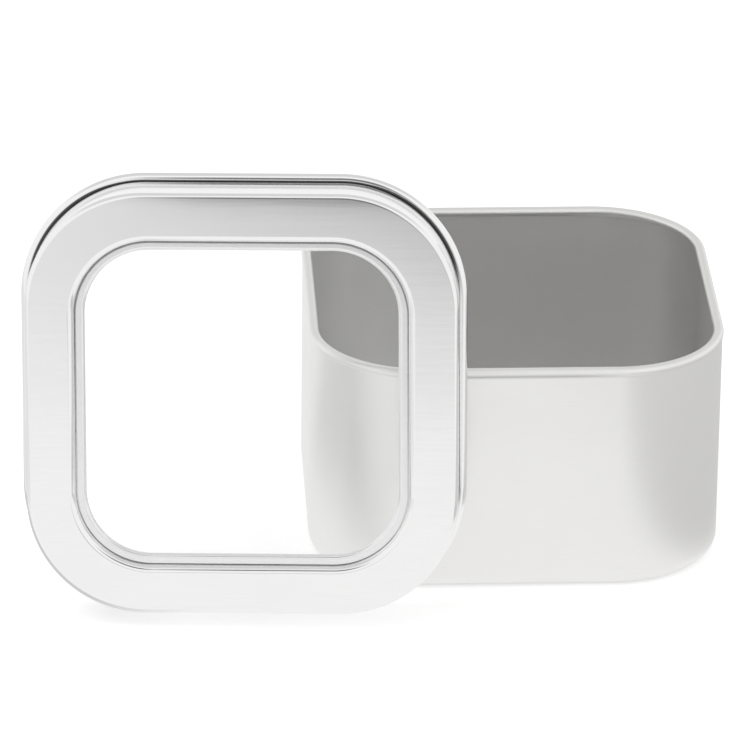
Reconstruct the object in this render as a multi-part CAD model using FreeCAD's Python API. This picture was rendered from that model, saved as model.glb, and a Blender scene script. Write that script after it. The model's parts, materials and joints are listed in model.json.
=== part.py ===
"""Square slip-lid tin with a window in its lid: a drawn body, and a lid of frame, pane and ring.

The origin is the middle of the tin's flat base, with +Z up and -Y to the front. The lid is off
and leans against the tin's front rim, on the left. All lengths are millimetres.
"""
import FreeCAD, Part
import math
import os

# Sheets
sheet = 0.3
pane_sheet = 0.3

# Tin body
tin_width = 60.0
tin_height = 34.8
tin_corner_radius = 16.2
base_bend_radius = 2.2
rim_curl_radius = 0.75
rim_proud = 0.15
rim_curl_end_deg = 265.0

# Lid frame
lid_clearance = 0.25
lid_depth = 9.5
face_bend_radius = 0.65
bead_radius = 0.7
bead_gap = 0.07
face_border = 7.05
window_corner_radius = 10.75
window_bend_radius = 1.0

# Window pane and the ring that clamps it
pane_overlap = 3.0
ring_lip = 1.45
ring_fit = 0.02
ring_lip_bend_radius = 0.6
ring_edge_bend_radius = 0.8

# How the loose lid stands: leaning back, turned a little, its side just past the tin's front left corner
lid_lean_deg = 10.1
lid_turn_deg = -4.8
lid_roll_deg = 1.0
lid_past_corner = 4.95
lean_gap = 0.3

# Worked out from the sizes above
tin_half = tin_width / 2
rim_half = tin_half + rim_proud
skirt_half = rim_half + lid_clearance + sheet
skirt_corner_radius = tin_corner_radius + skirt_half - tin_half
window_half = skirt_half - face_border
pane_top = lid_depth - window_bend_radius
ring_top = pane_top - pane_sheet
bead_reach = bead_radius - sheet
bead_end_deg = 360 + math.degrees(math.acos((bead_gap - bead_reach) / bead_radius))

Vector = FreeCAD.Vector
z_axis = Vector(0, 0, 1)


def polar(centre, radius, angle_deg):
    """The point of an upright section at an angle about a centre, counted from +X towards +Z."""
    angle = math.radians(angle_deg)
    return centre + Vector(radius * math.cos(angle), 0, radius * math.sin(angle))


def arc(centre, radius, start_deg, end_deg):
    middle_deg = (start_deg + end_deg) / 2
    ends = [polar(centre, radius, angle) for angle in (start_deg, middle_deg, end_deg)]
    return Part.Arc(*ends).toShape()


def section(*pieces):
    """A closed upright section from its arcs in order, each joined to the next by a straight line."""
    edges = []
    for piece, following in zip(pieces, pieces[1:] + pieces[:1]):
        start = piece.lastVertex(True).Point
        end = following.firstVertex(True).Point
        edges += [piece, Part.makeLine(start, end)]
    return Part.Face(Part.Wire(edges))


def one_solid(parts):
    """Joins parts that share faces into a single solid."""
    joined = parts[0].multiFuse(parts[1:])
    if len(joined.Solids) != 1:
        raise ValueError("the parts of one piece don't join")
    return joined.Solids[0]


def round_square(half, radius, level):
    """The outline of a square with round corners, as a wire at one level."""
    straight = half - radius
    edges = []
    for quarter in range(4):
        turn = FreeCAD.Rotation(z_axis, 90 * quarter)
        ends = [Vector(half, -straight, level), Vector(half, straight, level)]
        edges.append(Part.makeLine(*[turn.multVec(end) for end in ends]))
        centre = Vector(straight, straight, level)
        spots = [centre + Vector(radius * math.cos(a), radius * math.sin(a), 0)
                 for a in (0, math.pi / 4, math.pi / 2)]
        edges.append(Part.Arc(*[turn.multVec(spot) for spot in spots]).toShape())
    return Part.Wire(edges)


def plate(outer, inner, level, thickness):
    """A flat sheet within a round square (half, radius), with another cut out of it if given."""
    wires = [round_square(*outer, level)]
    if inner:
        wires.append(round_square(*inner, level))
    return Part.Face(wires, "Part::FaceMakerBullseye").extrude(Vector(0, 0, thickness))


def ring_round(half, radius, face):
    """A section, drawn outwards from x = 0, carried round a square with round corners."""
    straight = half - radius
    parts = []
    for quarter in range(4):
        side = face.copy()
        side.translate(Vector(half, -straight, 0))
        corner = face.copy()
        corner.translate(Vector(half, straight, 0))
        for piece in (side.extrude(Vector(0, 2 * straight, 0)),
                      corner.revolve(Vector(straight, straight, 0), z_axis, 90)):
            piece.rotate(Vector(0, 0, 0), z_axis, 90 * quarter)
            parts.append(piece)
    return one_solid(parts)


def inset(half, radius, by):
    return half - by, radius - by


def tin_body():
    """The drawn shell: a flat base, a bend, the wall and a rim curled inwards."""
    bend = Vector(-base_bend_radius, 0, base_bend_radius)
    curl = Vector(rim_proud - rim_curl_radius, 0, tin_height - rim_curl_radius)
    curl_inside = rim_curl_radius - sheet
    leaves_wall = -math.degrees(math.acos(-curl.x / rim_curl_radius))
    inside_wall = -math.degrees(math.acos((-sheet - curl.x) / curl_inside))
    wall = section(
        arc(bend, base_bend_radius, -90, 0),
        arc(curl, rim_curl_radius, leaves_wall, rim_curl_end_deg),
        arc(curl, curl_inside, rim_curl_end_deg, inside_wall),
        arc(bend, base_bend_radius - sheet, 0, -90),
    )
    base = plate(inset(tin_half, tin_corner_radius, base_bend_radius), None, 0, sheet)
    return one_solid([ring_round(tin_half, tin_corner_radius, wall), base])


def lid_frame():
    """The drawn frame: a rolled-out bead, the skirt, a flat face and the turned-down window edge."""
    bead = Vector(bead_reach, 0, bead_radius)
    face_bend = Vector(-face_bend_radius, 0, lid_depth - face_bend_radius)
    skirt = section(
        arc(bead, bead_radius, 180, bead_end_deg),
        arc(bead, bead_radius - sheet, bead_end_deg, 180),
        arc(face_bend, face_bend_radius, 0, 90),
        arc(face_bend, face_bend_radius - sheet, 90, 0),
    )
    window_bend = Vector(window_bend_radius, 0, lid_depth - window_bend_radius)
    edge = section(
        arc(window_bend, window_bend_radius, 90, 180),
        arc(window_bend, window_bend_radius - sheet, 180, 90),
    )
    face = plate(
        inset(skirt_half, skirt_corner_radius, face_bend_radius),
        inset(window_half, window_corner_radius, -window_bend_radius),
        lid_depth - sheet,
        sheet,
    )
    return one_solid([
        ring_round(skirt_half, skirt_corner_radius, skirt),
        face,
        ring_round(window_half, window_corner_radius, edge),
    ])


def window_pane():
    """A clear flat sheet that lies on the ring and bears on the frame's turned-down edge."""
    return plate(inset(window_half, window_corner_radius, -pane_overlap), None, ring_top, pane_sheet)


def window_retaining_ring():
    """A pressed ring: its outer edge turns up inside the skirt, and its lip turns away from the pane."""
    edge_square = inset(skirt_half, skirt_corner_radius, sheet + ring_fit)
    edge_bend = Vector(-ring_edge_bend_radius, 0, ring_top - sheet + ring_edge_bend_radius)
    edge = section(
        arc(edge_bend, ring_edge_bend_radius, -90, 0),
        arc(edge_bend, ring_edge_bend_radius - sheet, 0, -90),
    )
    lip_square = inset(window_half, window_corner_radius, ring_lip)
    lip_bend = Vector(ring_lip_bend_radius, 0, ring_top - ring_lip_bend_radius)
    lip = section(
        arc(lip_bend, ring_lip_bend_radius, 90, 180),
        arc(lip_bend, ring_lip_bend_radius - sheet, 180, 90),
    )
    flange = plate(
        inset(*edge_square, ring_edge_bend_radius),
        inset(*lip_square, -ring_lip_bend_radius),
        ring_top - sheet,
        sheet,
    )
    return one_solid([ring_round(*edge_square, edge), flange, ring_round(*lip_square, lip)])


def lid_placement():
    """Stands the lid on its bead, leaning back until its side meets the tin's front rim."""
    lean = FreeCAD.Rotation(Vector(1, 0, 0), 90 - lid_lean_deg)
    turn = FreeCAD.Rotation(z_axis, lid_turn_deg) * lean * FreeCAD.Rotation(z_axis, lid_roll_deg)
    across, up, out = [turn.multVec(axis) for axis in (Vector(1, 0, 0), Vector(0, 1, 0), z_axis)]
    bead_half = skirt_half + bead_reach
    bead_corner_radius = skirt_corner_radius + bead_reach
    straight = bead_half - bead_corner_radius
    below_middle = straight * (abs(across.z) + abs(up.z)) + bead_corner_radius * math.hypot(across.z, up.z)
    height = below_middle + bead_radius - bead_radius * out.z
    # The bead's right-hand side and the rim's curl are two round bars that cross at the lean gap.
    beside_bead = across * bead_half + out * bead_radius
    rim_y = rim_curl_radius - rim_half
    rim_z = tin_height - rim_curl_radius
    bars_apart = rim_curl_radius + bead_radius + lean_gap
    bead_y = rim_y + (up.y * (height + beside_bead.z - rim_z) - bars_apart * math.hypot(up.y, up.z)) / up.z
    bead_x = lid_past_corner - (tin_half - tin_corner_radius)
    return FreeCAD.Placement(Vector(bead_x - beside_bead.x, bead_y - beside_bead.y, height), turn)


def main():
    os.makedirs("parts", exist_ok=True)
    tin_body().exportStep("parts/tin_body.step")
    leaning = lid_placement()
    for make in (lid_frame, window_pane, window_retaining_ring):
        piece = make()
        piece.Placement = leaning
        piece.exportStep("parts/%s.step" % make.__name__)


main()
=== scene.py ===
"""The looks of a square window lid tin, laid out as a Blender add-on around the tin's fixed frame.

The open tin stands on its base, and its lid of frame, pane and ring leans against it. Each piece is
drawn as a section in edit mode, carried round a quarter of a square with round corners, mirrored and
given the thickness of its sheet. All lengths are metres unless a name says millimetres.
"""
import functools
import json
import math
import bmesh
import bpy
from bpy.props import FloatProperty, FloatVectorProperty, IntProperty, PointerProperty
from mathutils import Matrix, Vector

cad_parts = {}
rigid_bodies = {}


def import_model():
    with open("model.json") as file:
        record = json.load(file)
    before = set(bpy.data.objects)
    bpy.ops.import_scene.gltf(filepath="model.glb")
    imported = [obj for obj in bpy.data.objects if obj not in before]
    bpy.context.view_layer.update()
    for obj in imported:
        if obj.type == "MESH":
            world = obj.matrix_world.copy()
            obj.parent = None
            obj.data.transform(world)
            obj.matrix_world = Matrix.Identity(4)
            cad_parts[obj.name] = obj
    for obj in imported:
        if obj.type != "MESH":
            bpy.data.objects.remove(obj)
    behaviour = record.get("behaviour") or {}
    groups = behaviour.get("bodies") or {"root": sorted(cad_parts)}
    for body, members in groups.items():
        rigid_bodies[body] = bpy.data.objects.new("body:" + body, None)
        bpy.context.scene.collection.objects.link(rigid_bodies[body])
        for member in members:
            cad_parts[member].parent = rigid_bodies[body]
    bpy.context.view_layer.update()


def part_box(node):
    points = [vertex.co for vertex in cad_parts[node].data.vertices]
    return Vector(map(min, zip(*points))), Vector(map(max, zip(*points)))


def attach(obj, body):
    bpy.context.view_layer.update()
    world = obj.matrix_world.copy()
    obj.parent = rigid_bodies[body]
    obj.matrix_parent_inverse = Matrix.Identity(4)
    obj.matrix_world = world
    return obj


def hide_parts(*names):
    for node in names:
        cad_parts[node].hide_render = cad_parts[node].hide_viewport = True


bl_info = {
    "name": "Window Lid Tin",
    "version": (1, 0, 0),
    "blender": (4, 5, 0),
    "location": "3D View > Sidebar > Tin",
    "description": "Builds a square tin and its loose window lid, with their finishes and a plain stage",
    "category": "Object",
}

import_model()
tin_low, tin_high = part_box("tin_body")

millimetre = 0.001
touching = 1e-6
quarter_turn = math.pi / 2

# How bends are divided and shaded
bend_facet = math.radians(9)
smooth_angle = math.radians(32)
flat_weight = 80

# Noise levels between which the scuffs, and the patches that have them, come in
scuff_levels = (0.66, 0.76)
scuff_patch_levels = (0.5, 0.62)

# Where the painted shade lines change, as shares of a corner's radius or of half a straight side
rim_line_side_share = 0.4
rim_line_corner_share = 0.45
bead_corner_shares = (0.2, 0.75)
bead_fade_shares = (-0.05, 0.35)

# The floor, and how far above it the cards lie that only reflections show
floor_width = 8.0
floor_drop = 0.02 * millimetre
card_lift = 0.1 * millimetre
upper_card_lift = 0.15 * millimetre


def length(name, description, millimetres):
    return FloatProperty(name=name, description=description, default=millimetres * millimetre,
                         min=0.0, precision=5, unit="LENGTH")


def angle(name, description, degrees):
    return FloatProperty(name=name, description=description, default=math.radians(degrees), unit="ROTATION")


def share(name, description, default):
    return FloatProperty(name=name, description=description, default=default, min=0.0, max=1.0,
                         subtype="FACTOR")


def colour(name, description, default):
    return FloatVectorProperty(name=name, description=description, default=default, min=0.0, max=1.0,
                               subtype="COLOR")


class TinSizes(bpy.types.PropertyGroup):
    """The drawn tin."""
    rim_width: length("Rim width", "Across the rolled rim", (tin_high.x - tin_low.x) / millimetre)
    height: length("Height", "From the base to the top of the rim", tin_high.z / millimetre)
    sheet: length("Sheet", "Thickness of the tinplate", 0.3)
    corner_radius: length("Corner radius", "Outside radius of the wall's corners", 16.2)
    base_bend: length("Base bend", "Outside radius from the base to the wall", 2.2)
    rim_curl: length("Rim curl", "Outside radius of the rolled rim", 0.75)
    rim_proud: length("Rim proud", "How far the rolled rim stands out from the wall", 0.15)
    rim_curl_end: angle("Rim curl end", "Where the rolled rim ends, from the outside over the top", 265)

    @property
    def half(self):
        return self.rim_width / 2 - self.rim_proud

    @property
    def curl_level(self):
        return self.height - self.rim_curl

    @property
    def leaves_wall(self):
        return math.acos((self.rim_curl - self.rim_proud) / self.rim_curl)

    @property
    def rim_foot(self):
        return self.curl_level - self.rim_curl * math.sin(self.leaves_wall)


class LidSizes(bpy.types.PropertyGroup):
    """The lid's frame, pane and ring, and how the loose lid stands."""
    clearance: length("Clearance", "Between the tin's rim and the inside of the skirt", 0.25)
    depth: length("Depth", "From the open edge to the face", 9.5)
    face_bend: length("Face bend", "Outside radius from the face to the skirt", 0.65)
    bead: length("Bead", "Outside radius of the rolled edge", 0.7)
    bead_gap: length("Bead gap", "Between the drawn end of the rolled edge and the skirt", 0.02)
    face_border: length("Face border", "From the skirt to the window", 7.05)
    window_corner: length("Window corner", "Radius of the window's corners", 10.75)
    window_bend: length("Window bend", "Outside radius of the edge that turns down to the pane", 1.0)
    pane_sheet: length("Pane sheet", "Thickness of the clear pane", 0.3)
    pane_ease: length("Pane ease", "Between the drawn pane and what it bears on", 0.02)
    pane_overlap: length("Pane overlap", "How far the pane reaches behind the frame", 3.0)
    ring_lip: length("Ring lip", "How far the ring reaches into the window", 1.45)
    ring_fit: length("Ring fit", "Between the ring and the inside of the skirt", 0.02)
    ring_lip_bend: length("Ring lip bend", "Outside radius of the ring's lip", 0.6)
    ring_edge_bend: length("Ring edge bend", "Outside radius of the ring's turned-up edge", 0.8)
    lean: angle("Lean", "How far the loose lid leans back", 10.1)
    turn: angle("Turn", "How far it is turned about the upright", -4.8)
    roll: angle("Roll", "How far it is rolled in its own plane", 1.0)


class Finishes(bpy.types.PropertyGroup):
    """Colours and gloss."""
    tin: colour("Tin", "Colour of the drawn tin", (0.868, 0.863, 0.853))
    lid: colour("Lid", "Colour of the lid's frame and ring", (0.90, 0.90, 0.898))
    tin_roughness: share("Tin roughness", "Satin of the drawn tin", 0.40)
    lid_roughness: share("Lid roughness", "Satin of the lid's frame", 0.10)
    ring_roughness: share("Ring roughness", "Gloss of the pressed ring", 0.16)
    pane: colour("Pane", "Tint of the clear pane", (0.97, 0.98, 0.98))
    pane_roughness: share("Pane roughness", "Polish of the clear pane", 0.03)
    pane_cover: share("Pane cover", "How much the clear pane hides", 0.07)
    floor: colour("Floor", "Colour of the floor", (0.93, 0.93, 0.93))
    floor_lift: share("Floor lift", "What the floor gains towards white where it is seen", 0.36)


class Wear(bpy.types.PropertyGroup):
    """The marks of the tinplate and the pane, by size and by how much they show, and the lines of painted
    shade in creases, with painted reflection in the groove beside the lid's rolled edge.
    """
    cloud: length("Cloud", "Size of the cloudy patches", 7.7)
    streak: length("Streak", "Width of the rolling streaks", 0.24)
    grain: length("Grain", "Size of the grain", 0.11)
    wave: length("Wave", "Size of the dents that no one sees but for their reflections", 22.0)
    scuff: length("Scuff", "Width of the scuffs", 0.67)
    scuff_patch: length("Scuff patch", "Size of the patches that have scuffs", 11.0)
    lengthways: share("Lengthways", "Width to length of streaks, ripples and scuffs", 0.055)
    cloud_tone: share("Cloud tone", "How much darker the cloudy patches are", 0.02)
    streak_tone: share("Streak tone", "How much darker the streaks are", 0.03)
    scuff_tone: share("Scuff tone", "How much darker the scuffs are", 0.02)
    bare_satin: share("Bare satin", "How much smoother the sheet is without its marks", 0.05)
    cloud_satin: share("Cloud satin", "How much rougher the cloudy patches are", 0.07)
    streak_satin: share("Streak satin", "How much rougher the streaks are", 0.04)
    scuff_satin: share("Scuff satin", "How much smoother the scuffs are", 0.02)
    relief: length("Relief", "Height of the streaks", 0.0005)
    grain_relief: share("Grain relief", "Height of the grain to that of the streaks", 0.1)
    scuff_relief: share("Scuff relief", "Height of the scuffs to that of the streaks", 0.2)
    ripple: length("Ripple", "Width of the ripples that run along the sheet", 1.2)
    ripple_height: length("Ripple height", "Height of the ripples", 0.002)
    wave_height: length("Wave height", "Height of the waves", 0.025)
    haze: length("Haze", "Size of the pane's haze", 6.25)
    haze_roughness: share("Haze roughness", "How much rougher the haze is", 0.05)
    haze_cover: share("Haze cover", "How much the haze changes what the pane hides", 0.6)
    # Painted shade: a dark line painted under the tin's rim, and a painted contact shadow where the tin meets
    # the floor
    rim_line: length("Rim line", "Half the width of the dull line under the tin's rim", 0.5)
    rim_lift: length("Rim lift", "How far that line lies above the foot of the rim", 0.14)
    rim_shade_depth: share("Rim dull", "How dull that line is", 0.38)
    base_line: length("Base line", "Height of the dull line where the tin meets the floor", 0.8)
    base_shade_depth: share("Base dull", "How dull that line is", 0.35)
    # Painted shade and painted reflection: a dark line painted on the skirt in the groove beside the rolled
    # edge
    bead_line: length("Bead line", "Width of the dark line on the skirt beside the rolled edge", 0.6)
    bead_corner: length("Bead corner", "How much wider that line is at the upper corners", 1.2)
    bead_shade_depth: share("Bead dull", "How dark that line is", 0.9)
    # Painted shade: lines painted on the frame's window edge and on the ring beside it, darker at the
    # window's head than at its foot
    window_line: length("Window line", "Width of the dull line at the frame's window edge", 0.10)
    ring_line: length("Ring line", "Width of the dull line on the ring beside that edge", 0.28)
    window_shade_depth: share("Window dull", "How dull both lines are at the window's head", 0.75)
    foot_shade_depth: share("Foot dull", "How dull both lines are at the window's foot", 0.15)
    line_lift: length("Line lift", "How much of those lines moves from the window's foot to its head", 0.13)


class Stage(bpy.types.PropertyGroup):
    """Camera, light, and the tones of the cards that the metal reflects."""
    lens: FloatProperty(name="Lens", description="Focal length on a 36 mm sensor", default=312.0,
                        unit="CAMERA")
    distance: length("Distance", "From the camera to the middle of the tin's base", 969.5)
    aside: FloatVectorProperty(name="Aside", description="Tin's base from the picture's middle, right and up",
                               size=2, default=(0.01947, -0.01853), unit="LENGTH")
    yaw: angle("Yaw", "The camera's turn about the upright", -3.02)
    pitch: angle("Pitch", "How far the camera looks down", 24.45)
    tilt: angle("Tilt", "The camera's turn about its own axis", 0.65)
    sky: share("Sky", "Light from all round", 0.80)
    soft_box: FloatProperty(name="Soft box", description="Power of the lamp above", default=1.6, unit="POWER")
    front_grey: share("Front grey", "Tone of the card in front that the metal reflects", 0.22)
    side_grey: share("Side grey", "Tone of the cards at the sides that the metal reflects", 0.68)
    back_grey: share("Back grey", "Tone of the card behind that the metal reflects", 0.66)
    top_grey: share("Top grey", "Tone of the card above that the metal reflects", 0.74)
    floor_grey: share("Floor grey", "Tone of the floor at the left that the metal reflects", 0.86)
    far_grey: share("Far grey", "Tone of the far floor in front that the metal reflects", 0.18)
    near_grey: share("Near grey", "Tone of the near floor at the right that the tin's corner reflects", 0.52)
    room_grey: share("Room grey", "Tone of the room in front that the lid's face reflects", 0.3)
    inner_grey: share("Inner grey", "Tone of the card in the lid that lights the tin's wall", 0.95)


class Value:
    """A number on a shader socket. Arithmetic on it adds Math nodes to its tree."""

    def __init__(self, shader, socket):
        self.shader = shader
        self.socket = socket

    def math(self, operation, first, second):
        return self.shader.node("ShaderNodeMath", {"operation": operation}, {0: first, 1: second})

    def __add__(self, other):
        return self.math("ADD", self, other)

    def __radd__(self, other):
        return self.math("ADD", other, self)

    def __sub__(self, other):
        return self.math("SUBTRACT", self, other)

    def __rsub__(self, other):
        return self.math("SUBTRACT", other, self)

    def __mul__(self, other):
        return self.math("MULTIPLY", self, other)

    def __rmul__(self, other):
        return self.math("MULTIPLY", other, self)

    def __abs__(self):
        return self.shader.node("ShaderNodeMath", {"operation": "ABSOLUTE"}, {0: self})


class Shader:
    """The node tree of a material or of the world, emptied."""

    def __init__(self, owner):
        owner.use_nodes = True
        self.tree = owner.node_tree
        self.tree.nodes.clear()

    def node(self, kind, settings=None, sockets=None, output=0):
        """Adds a node, sets it up, fills or links its sockets, and gives one of its outputs."""
        made = self.tree.nodes.new(kind)
        for name, setting in (settings or {}).items():
            setattr(made, name, setting)
        for name, value in (sockets or {}).items():
            if isinstance(value, Value):
                self.tree.links.new(value.socket, made.inputs[name])
            else:
                made.inputs[name].default_value = value
        return Value(self, made.outputs[output]) if made.outputs else made

    def between(self, value, low, high):
        """0 below low, 1 above high and a smooth step between them."""
        return self.node("ShaderNodeMapRange", {"interpolation_type": "SMOOTHSTEP"},
                         {"Value": value, "From Min": low, "From Max": high})

    def axis(self, place, name):
        """One coordinate of a place: its X, Y or Z."""
        return self.node("ShaderNodeSeparateXYZ", {}, {"Vector": place}, name)


def settings():
    return bpy.context.scene.window_tin


def new_vertex(place):
    """Starts a section in edit mode: a small plane, drawn together to its middle."""
    bpy.ops.mesh.select_all(action="DESELECT")
    bpy.ops.mesh.primitive_plane_add(size=millimetre, location=place)
    bpy.ops.mesh.merge(type="CENTER")


class Section:
    """An upright section, drawn in edit mode where a round corner starts, and carried round a quarter."""

    def __init__(self, half, radius, x, z):
        self.straight = half - radius
        self.place = Vector((x, self.straight, z))
        new_vertex(self.place)

    def line_to(self, x, z):
        step = Vector((x, self.straight, z)) - self.place
        bpy.ops.mesh.extrude_vertices_move(TRANSFORM_OT_translate={"value": step})
        self.place += step

    def arc(self, x, z, turn):
        """Turns about (x, z), counted from +X towards +Z."""
        centre = Vector((x, self.straight, z))
        side = math.copysign(1, turn)
        bpy.ops.mesh.spin(steps=math.ceil(abs(turn) / bend_facet), angle=abs(turn), center=centre,
                          axis=(0, side, 0), use_auto_merge=False)
        self.place = centre + Matrix.Rotation(-turn, 3, "Y") @ (self.place - centre)

    def carry_round(self, piece):
        """Spins the section round the corner and draws both of its ends out to the middles of the sides."""
        middle = (self.straight, self.straight, 0)
        bpy.ops.mesh.select_linked()
        bpy.ops.mesh.spin(steps=settings().corner_steps, angle=quarter_turn, center=middle,
                          axis=(0, 0, -1), use_auto_merge=False)
        bpy.ops.mesh.extrude_edges_move(TRANSFORM_OT_translate={"value": (-self.straight, 0, 0)})
        select_edges(piece, lambda place: abs(place.y - self.straight) < touching)
        bpy.ops.mesh.extrude_edges_move(TRANSFORM_OT_translate={"value": (0, -self.straight, 0)})


def start_piece(name):
    """A new mesh object at the origin, empty and in edit mode."""
    if bpy.context.object and bpy.context.object.mode != "OBJECT":
        bpy.ops.object.mode_set(mode="OBJECT")
    bpy.ops.object.select_all(action="DESELECT")
    bpy.ops.mesh.primitive_plane_add(size=millimetre)
    piece = bpy.context.object
    piece.name = piece.data.name = name
    bpy.ops.object.mode_set(mode="EDIT")
    bpy.ops.mesh.select_mode(type="VERT")
    bpy.ops.mesh.delete(type="VERT")
    return piece


def select_edges(piece, chosen):
    """Selects, in edit mode, just the edges whose two ends lie in chosen places."""
    bpy.ops.mesh.select_all(action="DESELECT")
    mesh = bmesh.from_edit_mesh(piece.data)
    for edge in mesh.edges:
        if all(chosen(end.co) for end in edge.verts):
            edge.select_set(True)
    bmesh.update_edit_mesh(piece.data)


def apply_modifier(piece, kind, **values):
    modifier = piece.modifiers.new(kind.title(), kind)
    for name, value in values.items():
        setattr(modifier, name, value)
    bpy.ops.object.modifier_apply(modifier=modifier.name)


def mirror_quarter(piece):
    """Leaves edit mode and makes the whole piece from its quarter, with its doubles merged."""
    bpy.ops.object.mode_set(mode="OBJECT")
    apply_modifier(piece, "MIRROR", use_axis=(True, True, False), merge_threshold=touching)
    bpy.ops.object.mode_set(mode="EDIT")
    bpy.ops.mesh.select_all(action="SELECT")
    bpy.ops.mesh.remove_doubles(threshold=touching)


def thicken(piece, flat_level, flat_side, sheet):
    """Turns the flat face at a level to its outer side, and gives the sheet its thickness behind it."""
    bpy.ops.mesh.select_all(action="SELECT")
    bpy.ops.mesh.normals_make_consistent(inside=False)
    mesh = bmesh.from_edit_mesh(piece.data)
    mesh.normal_update()
    flats = [face for face in mesh.faces if abs(face.calc_center_median().z - flat_level) < touching]
    if not flats:
        raise RuntimeError("%s has no flat face at its level" % piece.name)
    if flats[0].normal.z * flat_side < 0:
        bpy.ops.mesh.flip_normals()
    bpy.ops.object.mode_set(mode="OBJECT")
    apply_modifier(piece, "SOLIDIFY", thickness=sheet, offset=-1.0, use_even_offset=True)
    smooth(piece)


def smooth(piece):
    """Smooth bends beside flat faces that stay flat."""
    bpy.ops.object.shade_smooth_by_angle(angle=smooth_angle)
    apply_modifier(piece, "WEIGHTED_NORMAL", keep_sharp=True, weight=flat_weight)


def lid_frame_of_reference():
    """Where the loose lid stands: its open edge's middle, and its face's direction as +Z."""
    lid = settings().lid
    turned = (Matrix.Rotation(lid.turn, 4, "Z") @ Matrix.Rotation(quarter_turn - lid.lean, 4, "X")
              @ Matrix.Rotation(lid.roll, 4, "Z"))
    low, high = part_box("window_pane")
    pane_middle = Vector((0, 0, lid.depth - lid.window_bend - lid.pane_sheet / 2))
    return Matrix.Translation((low + high) / 2 - turned @ pane_middle) @ turned


def stand_up(piece):
    """Stands a finished piece of the lid where the loose lid leans."""
    bpy.ops.object.select_all(action="DESELECT")
    piece.select_set(True)
    bpy.context.view_layer.objects.active = piece
    piece.matrix_world = lid_frame_of_reference()
    bpy.ops.object.transform_apply(location=True, rotation=True, scale=True)


def dress(piece, material, body, node):
    piece.data.materials.clear()
    piece.data.materials.append(material)
    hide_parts(node)
    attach(piece, body)


def skirt_half():
    tin, lid = settings().tin, settings().lid
    return tin.rim_width / 2 + lid.clearance + tin.sheet


def skirt_corner():
    tin = settings().tin
    return tin.corner_radius + skirt_half() - tin.half


def window_half():
    return skirt_half() - settings().lid.face_border


def outside_square(shader, along, half, radius):
    """How far a place lies outside a square with round corners, seen along the piece's Z."""
    straight = half - radius
    spread = shader.node("ShaderNodeVectorMath", {"operation": "ABSOLUTE"}, {0: along})
    spread = shader.node("ShaderNodeVectorMath", {"operation": "MULTIPLY_ADD"}, {
        0: spread, 1: (1, 1, 0), 2: (-straight, -straight, 0)})
    spread = shader.node("ShaderNodeVectorMath", {"operation": "MAXIMUM"}, {0: spread, 1: (0, 0, 0)})
    return shader.node("ShaderNodeVectorMath", {"operation": "LENGTH"}, {0: spread}, "Value") - radius


def window_shade_depth(shader, along):
    """How dark the painted shade lines at the window's edge are, from its foot to its head."""
    wear = settings().wear
    half = window_half()
    risen = shader.between(shader.axis(along, "Y"), -half, half)
    return wear.foot_shade_depth + (wear.window_shade_depth - wear.foot_shade_depth) * risen


def outside_window(shader, along, lift):
    """How far a place lies outside the window's outline, moved up a little."""
    moved = shader.node("ShaderNodeVectorMath", {"operation": "SUBTRACT"}, {0: along, 1: (0, lift, 0)})
    return outside_square(shader, moved, window_half(), settings().lid.window_corner)


def tin_painted_shade(shader, along):
    """The tin's painted shade: a dark line under its rim in the middle of front and back, and a painted
    contact shadow where it meets the floor.
    """
    tin, wear = settings().tin, settings().wear
    height = shader.axis(along, "Z")
    from_line = abs(height - (tin.rim_foot + wear.rim_lift))
    aside = abs(shader.axis(along, "X"))
    straight = tin.half - tin.corner_radius
    line_end = straight + rim_line_corner_share * tin.corner_radius
    on_side = shader.between(aside, line_end, rim_line_side_share * straight)
    # Painted shade: the line under the rim and the contact shadow at the foot
    return (wear.rim_shade_depth * on_side * shader.between(from_line, wear.rim_line, 0.0)
            + wear.base_shade_depth * shader.between(height, wear.base_line, 0.0))


def lid_painted_shade(shader, along):
    """The frame's painted lines: on the upper skirt beside the rolled edge, painted shade and painted dark
    reflection in the groove, wider at the upper corners; at the window's edge, painted shade where the frame
    meets the pane.
    """
    tin, lid, wear = settings().tin, settings().lid, settings().wear
    corner = skirt_corner()
    straight = skirt_half() - corner
    outside = outside_square(shader, along, skirt_half(), corner)
    # Painted shade and painted reflection in the groove beside the rolled edge, wider at the upper corners
    # and only on the upper side
    on_skirt = shader.between(outside, -tin.sheet, 0.0) * shader.between(outside, lid.bead_gap, 0.0)
    aside = abs(shader.axis(along, "X"))
    at_corner = shader.between(aside, *[straight + part * corner for part in bead_corner_shares])
    line_end = 2 * lid.bead + wear.bead_line + wear.bead_corner * at_corner
    height = shader.axis(along, "Z")
    groove = shader.between(height, 0.0, lid.bead) * shader.between(height - line_end, 0.0, -wear.bead_line)
    up = shader.axis(along, "Y")
    on_top = shader.between(up, *[straight + part * corner for part in bead_fade_shares])
    # Painted shade where the frame's window edge meets the pane
    window = shader.between(outside_window(shader, along, wear.line_lift), wear.window_line, 0.0)
    return wear.bead_shade_depth * on_skirt * groove * on_top + window_shade_depth(shader, along) * window


def ring_painted_shade(shader, along):
    """The painted shade line on the ring beside the frame's window edge."""
    wear = settings().wear
    outside = outside_window(shader, along, -wear.line_lift)
    return window_shade_depth(shader, along) * shader.between(outside, -wear.ring_line, -wear.window_line)


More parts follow.
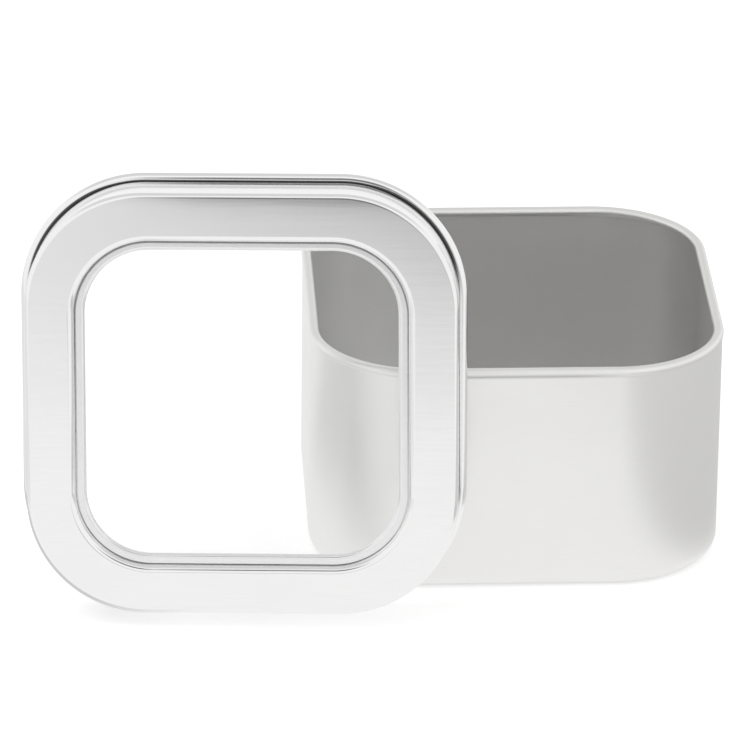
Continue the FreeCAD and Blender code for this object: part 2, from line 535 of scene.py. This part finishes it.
def tinplate(name, bare, roughness, place, painted_shade_lines):
    """Satin tinplate: streaks and ripples along a piece's X, clouds, a fine grain and a few short scuffs.

    Its painted shade lines are a function of the shader and the place on the piece, 1 where it is black.
    """
    wear = settings().wear
    material = bpy.data.materials.new(name)
    shader = Shader(material)
    here = shader.node("ShaderNodeTexCoord", output="Object")
    along = shader.node("ShaderNodeMapping", {"vector_type": "TEXTURE"}, {
        "Vector": here, "Location": place.to_translation(), "Rotation": place.to_euler()})

    def noise(size, narrowing=1.0, detail=2.0):
        drawn = shader.node("ShaderNodeVectorMath", {"operation": "MULTIPLY"}, {
            0: along, 1: (narrowing, 1, 1)})
        return shader.node("ShaderNodeTexNoise", {}, {"Vector": drawn, "Scale": 1 / size, "Detail": detail})

    cloud = noise(wear.cloud)
    streak = noise(wear.streak, wear.lengthways)
    scuff = (shader.between(noise(wear.scuff, wear.lengthways, detail=1.0), *scuff_levels)
             * shader.between(noise(wear.scuff_patch), *scuff_patch_levels))
    grain = noise(wear.grain)
    wave = noise(wear.wave, detail=0.0)
    ripple = noise(wear.ripple, wear.lengthways, detail=1.0)
    tone = 1.0 - wear.cloud_tone * cloud - wear.streak_tone * streak - wear.scuff_tone * scuff
    # Painted shade: the colour is darkened along the lines that the given function marks
    tone = tone * (1.0 - painted_shade_lines(shader, along))
    base = shader.node("ShaderNodeVectorMath", {"operation": "SCALE"}, {0: tuple(bare), "Scale": tone})
    satin = (roughness - wear.bare_satin + wear.cloud_satin * cloud
             + wear.streak_satin * streak - wear.scuff_satin * scuff)
    marks = streak + wear.grain_relief * grain + wear.scuff_relief * scuff
    fine = shader.node("ShaderNodeBump", {}, {"Distance": wear.relief, "Height": marks})
    rippled = shader.node("ShaderNodeBump", {}, {
        "Distance": wear.ripple_height, "Height": ripple, "Normal": fine})
    broad = shader.node("ShaderNodeBump", {}, {
        "Distance": wear.wave_height, "Height": wave, "Normal": rippled})
    surface = shader.node("ShaderNodeBsdfPrincipled", {}, {
        "Base Color": base, "Metallic": 1.0, "Roughness": satin, "Normal": broad})
    shader.node("ShaderNodeOutputMaterial", {}, {"Surface": surface})
    return material


def clear_sheet(name, place):
    """A clear polished sheet with the faintest haze."""
    finishes, wear = settings().finishes, settings().wear
    material = bpy.data.materials.new(name)
    shader = Shader(material)
    here = shader.node("ShaderNodeTexCoord", output="Object")
    along = shader.node("ShaderNodeMapping", {"vector_type": "TEXTURE"}, {
        "Vector": here, "Location": place.to_translation(), "Rotation": place.to_euler()})
    haze = shader.node("ShaderNodeTexNoise", {}, {"Vector": along, "Scale": 1 / wear.haze, "Detail": 3.0})
    roughness = finishes.pane_roughness + wear.haze_roughness * haze
    cover = finishes.pane_cover * (1.0 - wear.haze_cover / 2 + wear.haze_cover * haze)
    surface = shader.node("ShaderNodeBsdfPrincipled", {}, {
        "Base Color": (*finishes.pane, 1.0), "Roughness": roughness, "IOR": 1.55, "Alpha": cover})
    shader.node("ShaderNodeOutputMaterial", {}, {"Surface": surface})
    return material


class WINDOWTIN_OT_tin_body(bpy.types.Operator):
    """Build the drawn tin with its rolled rim"""
    bl_idname = "window_tin.tin_body"
    bl_label = "Tin Body"

    def execute(self, context):
        tin = settings().tin
        piece = start_piece("drawn_tin")
        wall = tin.half
        section = Section(wall, tin.corner_radius, wall - tin.base_bend, 0)
        section.arc(wall - tin.base_bend, tin.base_bend, quarter_turn)
        section.line_to(wall, tin.rim_foot)
        section.arc(wall + tin.rim_proud - tin.rim_curl, tin.curl_level, tin.leaves_wall + tin.rim_curl_end)
        section.carry_round(piece)
        mirror_quarter(piece)
        select_edges(piece, lambda place: abs(place.z) < touching)
        bpy.ops.mesh.edge_face_add()
        thicken(piece, 0, -1, tin.sheet)
        finishes = settings().finishes
        finish = tinplate("satin_tin", finishes.tin, finishes.tin_roughness, Matrix.Identity(4), tin_painted_shade)
        dress(piece, finish, "tin", "tin_body")
        return {"FINISHED"}


class WINDOWTIN_OT_lid_frame(bpy.types.Operator):
    """Build the lid's frame: rolled edge, skirt, face and window edge"""
    bl_idname = "window_tin.lid_frame"
    bl_label = "Lid Frame"

    def execute(self, context):
        tin, lid = settings().tin, settings().lid
        piece = start_piece("drawn_lid_frame")
        skirt = skirt_half()
        outer = Section(skirt, skirt_corner(), skirt - lid.face_bend, lid.depth)
        outer.arc(skirt - lid.face_bend, lid.depth - lid.face_bend, -quarter_turn)
        outer.line_to(skirt, lid.bead)
        bead_reach = lid.bead - tin.sheet
        bead_end = math.acos((lid.bead_gap - bead_reach) / lid.bead)
        outer.arc(skirt + bead_reach, lid.bead, math.pi + bead_end)
        outer.carry_round(piece)
        window = window_half()
        inner = Section(window, lid.window_corner, window, lid.depth - lid.window_bend)
        inner.arc(window + lid.window_bend, lid.depth - lid.window_bend, -quarter_turn)
        inner.carry_round(piece)
        select_edges(piece, lambda place: abs(place.z - lid.depth) < touching)
        bpy.ops.mesh.bridge_edge_loops()
        mirror_quarter(piece)
        thicken(piece, lid.depth, 1, tin.sheet)
        stand_up(piece)
        finishes = settings().finishes
        place = lid_frame_of_reference()
        finish = tinplate("satin_lid", finishes.lid, finishes.lid_roughness, place, lid_painted_shade)
        dress(piece, finish, "lid", "lid_frame")
        return {"FINISHED"}


class WINDOWTIN_OT_window_ring(bpy.types.Operator):
    """Build the pressed ring that clamps the pane"""
    bl_idname = "window_tin.window_ring"
    bl_label = "Window Ring"

    def execute(self, context):
        tin, lid = settings().tin, settings().lid
        piece = start_piece("pressed_ring")
        top = lid.depth - lid.window_bend - lid.pane_sheet
        edge = skirt_half() - tin.sheet - lid.ring_fit
        edge_corner = skirt_corner() - tin.sheet - lid.ring_fit
        outer = Section(edge, edge_corner, edge - lid.ring_edge_bend, top)
        outer.arc(edge - lid.ring_edge_bend, top - tin.sheet + lid.ring_edge_bend, quarter_turn)
        outer.carry_round(piece)
        lip = window_half() - lid.ring_lip
        inner = Section(lip, lid.window_corner - lid.ring_lip, lip, top - lid.ring_lip_bend)
        inner.arc(lip + lid.ring_lip_bend, top - lid.ring_lip_bend, -quarter_turn)
        inner.carry_round(piece)
        select_edges(piece, lambda place: abs(place.z - top) < touching)
        bpy.ops.mesh.bridge_edge_loops()
        mirror_quarter(piece)
        thicken(piece, top, 1, tin.sheet)
        stand_up(piece)
        finishes = settings().finishes
        place = lid_frame_of_reference()
        finish = tinplate("bright_ring", finishes.lid, finishes.ring_roughness, place, ring_painted_shade)
        dress(piece, finish, "lid", "window_retaining_ring")
        return {"FINISHED"}


class WINDOWTIN_OT_window_pane(bpy.types.Operator):
    """Build the clear pane"""
    bl_idname = "window_tin.window_pane"
    bl_label = "Window Pane"

    def execute(self, context):
        lid = settings().lid
        bpy.ops.object.select_all(action="DESELECT")
        half = window_half() + lid.pane_overlap
        top = lid.depth - lid.window_bend - lid.pane_ease
        bpy.ops.mesh.primitive_plane_add(size=2 * half, location=(0, 0, top))
        piece = bpy.context.object
        piece.name = piece.data.name = "clear_pane"
        bpy.ops.object.mode_set(mode="EDIT")
        bpy.ops.mesh.bevel(offset=lid.window_corner + lid.pane_overlap, segments=settings().corner_steps,
                           affect="VERTICES")
        bpy.ops.object.mode_set(mode="OBJECT")
        bpy.ops.object.transform_apply(location=True, rotation=True, scale=True)
        apply_modifier(piece, "SOLIDIFY", thickness=lid.pane_sheet - 2 * lid.pane_ease, offset=-1.0)
        stand_up(piece)
        finish = clear_sheet("clear_sheet", lid_frame_of_reference())
        dress(piece, finish, "lid", "window_pane")
        return {"FINISHED"}


def camera_axes(stage):
    """The camera's right, up and forward directions."""
    level = math.cos(stage.pitch)
    forward = Vector((-math.sin(stage.yaw) * level, math.cos(stage.yaw) * level, -math.sin(stage.pitch)))
    right = Vector((math.cos(stage.yaw), math.sin(stage.yaw), 0))
    turn = Matrix.Rotation(-stage.tilt, 3, forward)
    right = turn @ right
    return right, right.cross(forward), forward


def add_camera(stage):
    right, up, forward = camera_axes(stage)
    data = bpy.data.cameras.new("camera")
    data.lens = stage.lens
    data.sensor_width = 36.0
    data.clip_start = 0.05
    data.clip_end = 50.0
    camera = bpy.data.objects.new("camera", data)
    bpy.context.scene.collection.objects.link(camera)
    aside, above = stage.aside
    turned = Matrix((right, up, -forward)).transposed().to_4x4()
    place = -(aside * right + above * up + stage.distance * forward)
    camera.matrix_world = Matrix.Translation(place) @ turned
    bpy.context.scene.camera = camera


def on_rays(shader, *kinds):
    """1 for rays of the named kinds, 0 for others."""
    rays = [shader.node("ShaderNodeLightPath", output="Is %s Ray" % kind) for kind in kinds]
    return functools.reduce(lambda one, other: one.math("MAXIMUM", one, other), rays)


def add_world(stage):
    world = bpy.data.worlds.new("white_room")
    bpy.context.scene.world = world
    shader = Shader(world)
    seen = on_rays(shader, "Camera", "Glossy", "Transmission")
    sky = shader.node("ShaderNodeBackground", {}, {"Color": stage.sky + (1.0 - stage.sky) * seen})
    shader.node("ShaderNodeOutputWorld", {}, {"Surface": sky})


def add_floor(finishes):
    bpy.ops.object.select_all(action="DESELECT")
    bpy.ops.mesh.primitive_plane_add(size=floor_width, location=(0, 0, -floor_drop))
    floor = bpy.context.object
    floor.name = "floor"
    material = bpy.data.materials.new("pale_floor")
    shader = Shader(material)
    matt = shader.node("ShaderNodeBsdfPrincipled", {}, {
        "Base Color": (*finishes.floor, 1.0), "Roughness": 0.9, "Specular IOR Level": 0.0,
        "Emission Color": finishes.floor_lift * on_rays(shader, "Camera"), "Emission Strength": 1.0})
    white = shader.node("ShaderNodeEmission", {}, {"Color": (1.0, 1.0, 1.0, 1.0)})
    surface = shader.node("ShaderNodeMixShader", {}, {
        "Fac": on_rays(shader, "Glossy", "Transmission"), 1: matt, 2: white})
    shader.node("ShaderNodeOutputMaterial", {}, {"Surface": surface})
    floor.data.materials.append(material)


def add_card(name, place, size, grey, soft, tip=0.0):
    """A soft-edged grey card, lying flat or tipped up, that only shows as a reflection in the metal."""
    bpy.ops.object.select_all(action="DESELECT")
    bpy.ops.mesh.primitive_plane_add(size=1.0, location=place, rotation=(tip, 0, 0))
    card = bpy.context.object
    card.name = name
    card.scale = (*size, 1.0)
    card.visible_camera = card.visible_diffuse = card.visible_shadow = False
    material = bpy.data.materials.new(name)
    shader = Shader(material)
    here = shader.node("ShaderNodeTexCoord", output="Object")
    from_middle = shader.node("ShaderNodeVectorMath", {"operation": "ABSOLUTE"}, {0: here})
    edge = 0.5
    across, up = [shader.between(shader.axis(from_middle, axis), edge, edge - part)
                  for axis, part in zip("XY", soft)]
    clear = shader.node("ShaderNodeBsdfTransparent")
    plain = shader.node("ShaderNodeEmission", {}, {"Color": (grey, grey, grey, 1.0)})
    surface = shader.node("ShaderNodeMixShader", {}, {"Fac": across * up, 1: clear, 2: plain})
    shader.node("ShaderNodeOutputMaterial", {}, {"Surface": surface})
    card.data.materials.append(material)


def add_lamp(name, place, aim, size, watts):
    data = bpy.data.lights.new(name, "AREA")
    data.shape = "RECTANGLE"
    data.size, data.size_y = size
    data.energy = watts
    lamp = bpy.data.objects.new(name, data)
    bpy.context.scene.collection.objects.link(lamp)
    lamp.visible_glossy = False
    lamp.location = place
    lamp.rotation_euler = (Vector(aim) - Vector(place)).to_track_quat("-Z", "Y").to_euler()


def add_cards(stage):
    """Grey cards that give the metal its form: some upright, some lying on the floor."""
    add_card("front_card", place=(-0.038, -0.10, 0.0835), size=(0.076, 0.050), grey=stage.front_grey,
             soft=(0.3, 0.04), tip=quarter_turn)
    add_card("right_card", place=(0.137, 0.03, card_lift), size=(0.22, 0.36), grey=stage.side_grey,
             soft=(0.05, 0.05))
    add_card("right_floor", place=(0.058, -0.138, upper_card_lift), size=(0.10, 0.12), grey=stage.near_grey,
             soft=(0.4, 0.45))
    add_card("far_card", place=(-0.15, -2.4, 0.1), size=(1.2, 0.4), grey=stage.room_grey,
             soft=(0.5, 0.5), tip=quarter_turn)
    add_card("left_card", place=(-0.088, -0.02, card_lift), size=(0.084, 0.09), grey=stage.side_grey,
             soft=(0.25, 0.1))
    add_card("back_card", place=(0.0, 0.35, 0.21), size=(0.9, 0.22), grey=stage.back_grey,
             soft=(0.3, 0.3), tip=quarter_turn)
    add_card("top_card", place=(0.0, 0.15, 0.45), size=(1.2, 0.8), grey=stage.top_grey,
             soft=(0.25, 0.25))
    add_card("left_floor", place=(-0.32, -0.05, card_lift), size=(0.40, 0.60), grey=stage.floor_grey,
             soft=(0.1, 0.1))
    add_card("front_floor", place=(-0.02, -1.9, card_lift), size=(0.8, 3.4), grey=stage.far_grey,
             soft=(0.5, 0.5))
    add_card("inner_card", place=(-0.016, -0.0317, 0.009), size=(0.040, 0.042), grey=stage.inner_grey,
             soft=(0.5, 0.5), tip=quarter_turn)


class WINDOWTIN_OT_stage(bpy.types.Operator):
    """Build the plain white stage: camera, floor, soft light and the cards that the metal reflects"""
    bl_idname = "window_tin.stage"
    bl_label = "Stage"

    def execute(self, context):
        stage = settings().stage
        add_camera(stage)
        add_world(stage)
        add_floor(settings().finishes)
        add_lamp("soft_box", place=(-0.5, -0.35, 0.9), aim=(-0.01, 0, 0.02), size=(0.7, 0.7),
                 watts=stage.soft_box)
        add_cards(stage)
        context.scene.view_settings.view_transform = "Standard"
        return {"FINISHED"}


class WindowTin(bpy.types.PropertyGroup):
    """All settings of the tin."""
    corner_steps: IntProperty(name="Corner steps", description="Facets of each round corner", default=40,
                              min=4)
    tin: PointerProperty(type=TinSizes)
    lid: PointerProperty(type=LidSizes)
    finishes: PointerProperty(type=Finishes)
    wear: PointerProperty(type=Wear)
    stage: PointerProperty(type=Stage)


build_order = (WINDOWTIN_OT_tin_body, WINDOWTIN_OT_lid_frame, WINDOWTIN_OT_window_ring,
               WINDOWTIN_OT_window_pane, WINDOWTIN_OT_stage)


class WINDOWTIN_PT_sidebar(bpy.types.Panel):
    """Lists the settings and the pieces"""
    bl_label = "Window Lid Tin"
    bl_space_type = "VIEW_3D"
    bl_region_type = "UI"
    bl_category = "Tin"

    def draw(self, context):
        tin = context.scene.window_tin
        self.layout.prop(tin, "corner_steps")
        groups = {
            "Tin": tin.tin,
            "Lid": tin.lid,
            "Finishes": tin.finishes,
            "Wear": tin.wear,
            "Stage": tin.stage,
        }
        for title, group in groups.items():
            box = self.layout.box()
            box.label(text=title)
            for name in group.__annotations__:
                box.prop(group, name)
        for operator in build_order:
            self.layout.operator(operator.bl_idname)


classes = (TinSizes, LidSizes, Finishes, Wear, Stage, WindowTin, *build_order, WINDOWTIN_PT_sidebar)


def register():
    for each in classes:
        bpy.utils.register_class(each)
    bpy.types.Scene.window_tin = PointerProperty(type=WindowTin)


def unregister():
    del bpy.types.Scene.window_tin
    for each in reversed(classes):
        bpy.utils.unregister_class(each)


def main():
    register()
    bpy.ops.window_tin.tin_body()
    bpy.ops.window_tin.lid_frame()
    bpy.ops.window_tin.window_ring()
    bpy.ops.window_tin.window_pane()
    bpy.ops.window_tin.stage()


if __name__ == "__main__":
    main()
